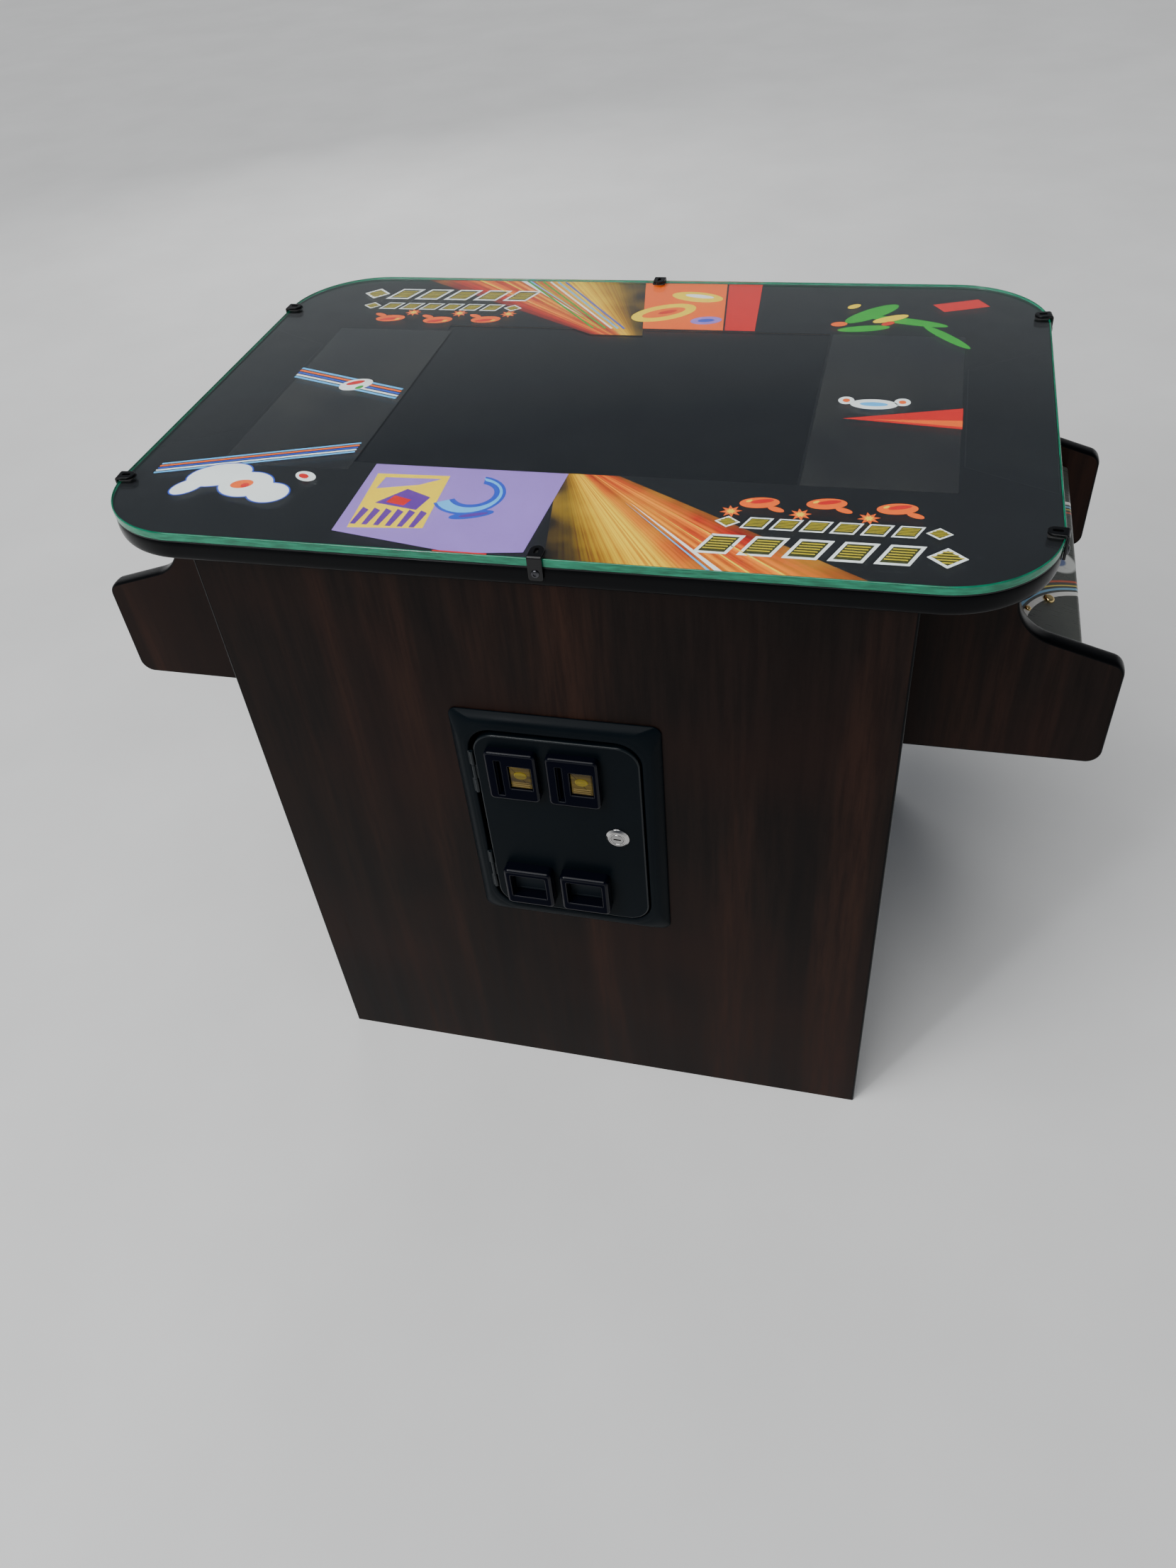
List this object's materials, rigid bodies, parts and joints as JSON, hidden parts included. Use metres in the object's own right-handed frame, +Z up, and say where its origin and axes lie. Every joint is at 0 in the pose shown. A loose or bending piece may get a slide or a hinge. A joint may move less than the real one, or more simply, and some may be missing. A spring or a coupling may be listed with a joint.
{
  "type": "cocktail arcade table",
  "caption": "Low two-player arcade table: wooden cabinet, hinged glass-covered top with a monitor under it, a control box at each end and a steel coin door in front.",
  "frame": {"origin": "on the floor under the middle of the tabletop", "axes": "+X along the table's long axis towards one player, -Y towards the coin door side, +Z up"},
  "size_m": [0.9964, 0.5981, 0.7434],
  "materials": {
    "laminate": "dark walnut laminate, vertical grain, satin",
    "plain_wood": "bare plywood and pine, unfinished",
    "black_moulding": "black vinyl edge moulding, satin",
    "art_print": null,
    "glass": "clear polished plate glass, green edge",
    "panel_print": "printed vinyl over sheet steel, satin",
    "black_coat": "fine black powder coat",
    "black_plastic": "moulded black plastic, glossy",
    "amber_plastic": "clear amber moulded plastic",
    "chrome": "polished chrome plate",
    "steel": "zinc plated steel",
    "brass": "polished brass",
    "rubber": "soft black rubber",
    "screen": "dark display face, unlit",
    "red_plastic": "moulded red plastic",
    "white_plastic": "moulded white plastic",
    "circuit": "green circuit board with black chips"
  },
  "bodies": {
    "cabinet": {"front_panel": "laminate", "rear_panel": "laminate", "end_panel_left": "laminate", "end_panel_right": "laminate", "base_board": "plain_wood", "corner_cleats": "plain_wood", "panel_trim": "black_moulding", "control_cheeks": "laminate", "cheek_trim": "black_moulding", "control_floors": "laminate", "control_aprons": "laminate", "control_plate_left": "panel_print", "control_plate_right": "panel_print", "panel_bolts": "brass", "stick_screws": "brass", "stick_bases": "black_plastic", "button_housings": "red_plastic", "button_nuts": "black_plastic", "button_switches": "black_plastic", "coin_frame": "black_coat", "lid_hinges_fixed": "steel", "mains_inlet": "black_plastic", "speaker": "black_plastic", "game_board": "circuit", "power_supply": "steel", "cash_box": "steel"},
    "lid": {"tabletop_board": "plain_wood", "top_trim": "black_moulding", "top_art": "art_print", "glass_top": "glass", "glass_clips": "black_coat", "clip_screws": "black_coat", "clip_pads": "rubber", "monitor_screen": "screen", "monitor_case": "black_plastic", "monitor_straps": "steel", "lid_hinges_moving": "steel"},
    "coin_door": {"coin_door": "black_coat", "coin_entries": "black_plastic", "coin_cups": "black_plastic", "coin_mechs": "black_plastic", "lock_body": "chrome"},
    "coin_lock": {"lock_plug": "chrome"},
    "mains_rocker": {"rocker_switch": "black_plastic"},
    "reject_left": {"reject_button_left": "amber_plastic"},
    "flap_left": {"return_flap_left": "black_plastic"},
    "reject_right": {"reject_button_right": "amber_plastic"},
    "flap_right": {"return_flap_right": "black_plastic"},
    "stick_ring_left": {"stick_ring_left": "steel"},
    "stick_left": {"stick_shaft_left": "steel", "stick_ball_left": "red_plastic"},
    "start_left": {"start_button_left": "white_plastic"},
    "action_a_left": {"action_a_button_left": "red_plastic"},
    "action_b_left": {"action_b_button_left": "red_plastic"},
    "stick_ring_right": {"stick_ring_right": "steel"},
    "stick_right": {"stick_shaft_right": "steel", "stick_ball_right": "red_plastic"},
    "start_right": {"start_button_right": "white_plastic"},
    "action_a_right": {"action_a_button_right": "red_plastic"},
    "action_b_right": {"action_b_button_right": "red_plastic"}
  },
  "joints": [
    {"name": "lid_hinge", "type": "hinge", "parent": "cabinet", "child": "lid", "pos_m": [0, 0.283, 0.709], "axis": [-1, 0, 0], "range_deg": [0, 78]},
    {"name": "coin_door_hinge", "type": "hinge", "parent": "cabinet", "child": "coin_door", "pos_m": [-0.0792, -0.2899, 0.4195], "axis": [0, 0, -1], "range_deg": [0, 100]},
    {"name": "lock_turn", "type": "hinge", "parent": "coin_door", "child": "coin_lock", "pos_m": [0.06, -0.29, 0.421], "axis": [0, -1, 0], "range_deg": [0, 90]},
    {"name": "mains_rocker_tilt", "type": "hinge", "parent": "cabinet", "child": "mains_rocker", "pos_m": [0.22, 0.2779, 0.1435], "axis": [1, 0, 0], "range_deg": [-18, 0]},
    {"name": "reject_left_press", "type": "slide", "parent": "coin_door", "child": "reject_left", "axis": [0, 1, 0], "range_m": [0, 0.004], "stiffness_N_per_m": 250, "springref_m": -0.002},
    {"name": "flap_left_swing", "type": "hinge", "parent": "coin_door", "child": "flap_left", "pos_m": [-0.038, -0.2909, 0.3575], "axis": [1, 0, 0], "range_deg": [0, 40]},
    {"name": "reject_right_press", "type": "slide", "parent": "coin_door", "child": "reject_right", "axis": [0, 1, 0], "range_m": [0, 0.004], "stiffness_N_per_m": 250, "springref_m": -0.002},
    {"name": "flap_right_swing", "type": "hinge", "parent": "coin_door", "child": "flap_right", "pos_m": [0.0225, -0.2909, 0.3575], "axis": [1, 0, 0], "range_deg": [0, 40]},
    {"name": "stick_left_fore_aft", "type": "hinge", "parent": "cabinet", "child": "stick_ring_left", "pos_m": [-0.38739, 0.088, 0.60357], "axis": [0, -1, 0], "range_deg": [-12, 12], "stiffness_Nm_per_rad": 1},
    {"name": "stick_left_sideways", "type": "hinge", "parent": "stick_ring_left", "child": "stick_left", "pos_m": [-0.38739, 0.088, 0.60357], "axis": [-0.9537, 0, -0.3007], "range_deg": [-12, 12], "stiffness_Nm_per_rad": 1},
    {"name": "start_left_press", "type": "slide", "parent": "cabinet", "child": "start_left", "axis": [0.3007, 0, -0.9537], "range_m": [0, 0.003], "stiffness_N_per_m": 250, "springref_m": -0.002},
    {"name": "action_a_left_press", "type": "slide", "parent": "cabinet", "child": "action_a_left", "axis": [0.3007, 0, -0.9537], "range_m": [0, 0.003], "stiffness_N_per_m": 250, "springref_m": -0.002},
    {"name": "action_b_left_press", "type": "slide", "parent": "cabinet", "child": "action_b_left", "axis": [0.3007, 0, -0.9537], "range_m": [0, 0.003], "stiffness_N_per_m": 250, "springref_m": -0.002},
    {"name": "stick_right_fore_aft", "type": "hinge", "parent": "cabinet", "child": "stick_ring_right", "pos_m": [0.38739, -0.088, 0.60357], "axis": [0, 1, 0], "range_deg": [-12, 12], "stiffness_Nm_per_rad": 1},
    {"name": "stick_right_sideways", "type": "hinge", "parent": "stick_ring_right", "child": "stick_right", "pos_m": [0.38739, -0.088, 0.60357], "axis": [0.9537, 0, -0.3007], "range_deg": [-12, 12], "stiffness_Nm_per_rad": 1},
    {"name": "start_right_press", "type": "slide", "parent": "cabinet", "child": "start_right", "axis": [-0.3007, 0, -0.9537], "range_m": [0, 0.003], "stiffness_N_per_m": 250, "springref_m": -0.002},
    {"name": "action_a_right_press", "type": "slide", "parent": "cabinet", "child": "action_a_right", "axis": [-0.3007, 0, -0.9537], "range_m": [0, 0.003], "stiffness_N_per_m": 250, "springref_m": -0.002},
    {"name": "action_b_right_press", "type": "slide", "parent": "cabinet", "child": "action_b_right", "axis": [-0.3007, 0, -0.9537], "range_m": [0, 0.003], "stiffness_N_per_m": 250, "springref_m": -0.002}
  ]
}
